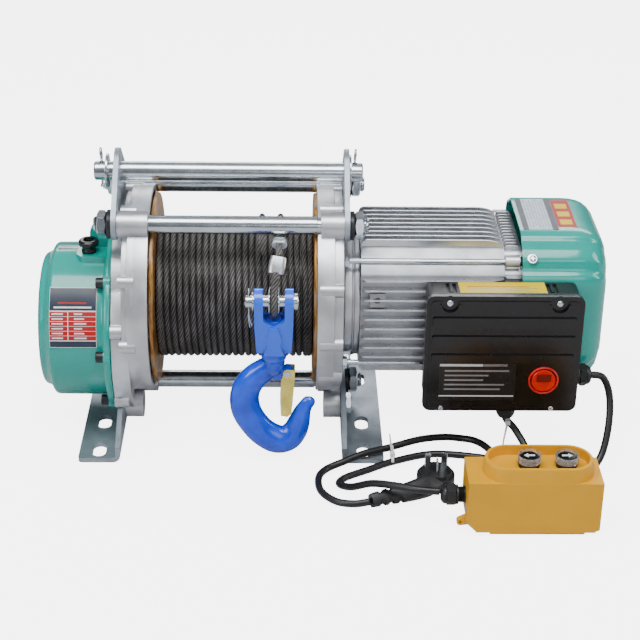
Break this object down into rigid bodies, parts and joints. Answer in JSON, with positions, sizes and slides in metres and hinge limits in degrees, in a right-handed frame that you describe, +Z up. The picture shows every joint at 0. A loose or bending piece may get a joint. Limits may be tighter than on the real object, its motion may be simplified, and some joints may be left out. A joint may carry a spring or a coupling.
{
  "type": "electric wire rope hoist",
  "caption": "Compact electric rope hoist with drum, gear case, finned motor, slotted feet, hanging bar, swivel hook with latch, switch box and two-button pendant.",
  "frame": {"origin": "on the floor, at the middle of the left foot's underside", "axes": "+X along the drum from the gear case to the motor, +Z up, the switch box and pendant on the -Y side"},
  "size_m": [0.5735, 0.3647, 0.2887],
  "materials": {
    "cast_aluminium": "as cast, lightly blasted",
    "machined_aluminium": "machined",
    "zinc_plated_steel": "bright zinc plate",
    "bare_steel": "bare, oiled",
    "drum_steel": "brown primer",
    "greased_rope": "greased strands",
    "turquoise_paint": "gloss",
    "black_plastic": "fine grain",
    "yellow_plastic": "satin",
    "red_lens": "clear gloss",
    "blue_paint": "gloss",
    "yellow_zinc": "yellow chromate",
    "cable_rubber": "smooth",
    "winding_copper": "varnished windings",
    "capacitor_case": "smooth"
  },
  "bodies": {
    "frame": {"left_end_frame": "cast_aluminium", "right_end_frame": "cast_aluminium", "rear_shield": "cast_aluminium", "motor_flange": "machined_aluminium", "motor_body": "machined_aluminium", "upper_front_tie_rod": "zinc_plated_steel", "upper_rear_tie_rod": "zinc_plated_steel", "lower_tie_rod": "zinc_plated_steel", "upper_front_left_nut": "zinc_plated_steel", "upper_front_right_nut": "zinc_plated_steel", "upper_rear_left_nut": "zinc_plated_steel", "upper_rear_right_nut": "zinc_plated_steel", "lower_right_nut": "zinc_plated_steel", "suspension_rod": "zinc_plated_steel", "left_split_pin": "zinc_plated_steel", "right_split_pin": "zinc_plated_steel", "left_suspension_plate": "zinc_plated_steel", "right_suspension_plate": "zinc_plated_steel", "left_foot": "zinc_plated_steel", "right_foot": "zinc_plated_steel", "front_foot_bolt": "zinc_plated_steel", "rear_foot_bolt": "zinc_plated_steel", "motor_tie_bolt_1": "zinc_plated_steel", "motor_tie_bolt_2": "zinc_plated_steel", "motor_tie_bolt_3": "zinc_plated_steel", "motor_tie_bolt_4": "zinc_plated_steel", "left_drum_bearing": "bare_steel", "right_drum_bearing": "bare_steel", "rope_lead": "greased_rope", "gear_housing": "turquoise_paint", "fan_cowl": "turquoise_paint", "oil_filler_plug": "black_plastic", "control_box_base": "black_plastic", "control_box_lid": "black_plastic", "power_gland": "black_plastic", "control_gland": "black_plastic", "pendant_gland": "black_plastic", "mains_plug": "black_plastic", "pendant_body": "yellow_plastic", "power_cable": "cable_rubber", "pendant_cable": "cable_rubber", "stator": "winding_copper", "run_capacitor": "capacitor_case"},
    "drum": {"rope_drum": "drum_steel", "wound_rope": "greased_rope", "drum_output_gear": "bare_steel"},
    "motor_rotor": {"motor_shaft": "bare_steel", "rotor": "bare_steel", "cooling_fan": "black_plastic"},
    "countershaft": {"countershaft": "bare_steel"},
    "rope_end": {"rope_eye": "greased_rope", "rope_sleeve": "machined_aluminium"},
    "clevis": {"hook_clevis": "blue_paint", "clevis_pin": "zinc_plated_steel"},
    "hook": {"swivel_hook": "blue_paint", "swivel_nut": "zinc_plated_steel"},
    "latch": {"safety_latch": "yellow_zinc"},
    "up_button": {"up_button": "black_plastic"},
    "down_button": {"down_button": "black_plastic"},
    "rocker": {"rocker_switch": "red_lens"}
  },
  "joints": [
    {"name": "drum_spin", "type": "hinge", "parent": "frame", "child": "drum", "pos_m": [0.13455, 0, 0.138], "axis": [1, 0, 0], "continuous": true},
    {"name": "motor_spin", "type": "hinge", "parent": "frame", "child": "motor_rotor", "pos_m": [0.13455, 0, 0.138], "axis": [1, 0, 0], "continuous": true},
    {"name": "counter_spin", "type": "hinge", "parent": "frame", "child": "countershaft", "pos_m": [-0.01045, 0, 0.0945], "axis": [1, 0, 0], "continuous": true},
    {"name": "hook_lower", "type": "slide", "parent": "frame", "child": "rope_end", "axis": [0, 0, -1], "range_m": [0, 0.3]},
    {"name": "clevis_swing", "type": "hinge", "parent": "rope_end", "child": "clevis", "pos_m": [0.17395, -0.102, 0.172], "axis": [1, 0, 0], "range_deg": [-70, 0]},
    {"name": "hook_swivel", "type": "hinge", "parent": "clevis", "child": "hook", "pos_m": [0.17395, -0.102, 0.115], "axis": [0, 0, 1], "continuous": true},
    {"name": "latch_pivot", "type": "hinge", "parent": "hook", "child": "latch", "pos_m": [0.18745, -0.102, 0.096], "axis": [0, 1, 0], "range_deg": [0, 25]},
    {"name": "up_press", "type": "slide", "parent": "frame", "child": "up_button", "axis": [0, 0, -1], "range_m": [0, 0.003]},
    {"name": "down_press", "type": "slide", "parent": "frame", "child": "down_button", "axis": [0, 0, -1], "range_m": [0, 0.003]},
    {"name": "rocker_tilt", "type": "hinge", "parent": "frame", "child": "rocker", "pos_m": [0.43755, -0.11, 0.0955], "axis": [0, 0, 1], "range_deg": [-8, 8]}
  ],
  "couplings": [
    {"joint": "counter_spin", "follows": "drum_spin", "ratio": -5},
    {"joint": "motor_spin", "follows": "drum_spin", "ratio": 25}
  ]
}
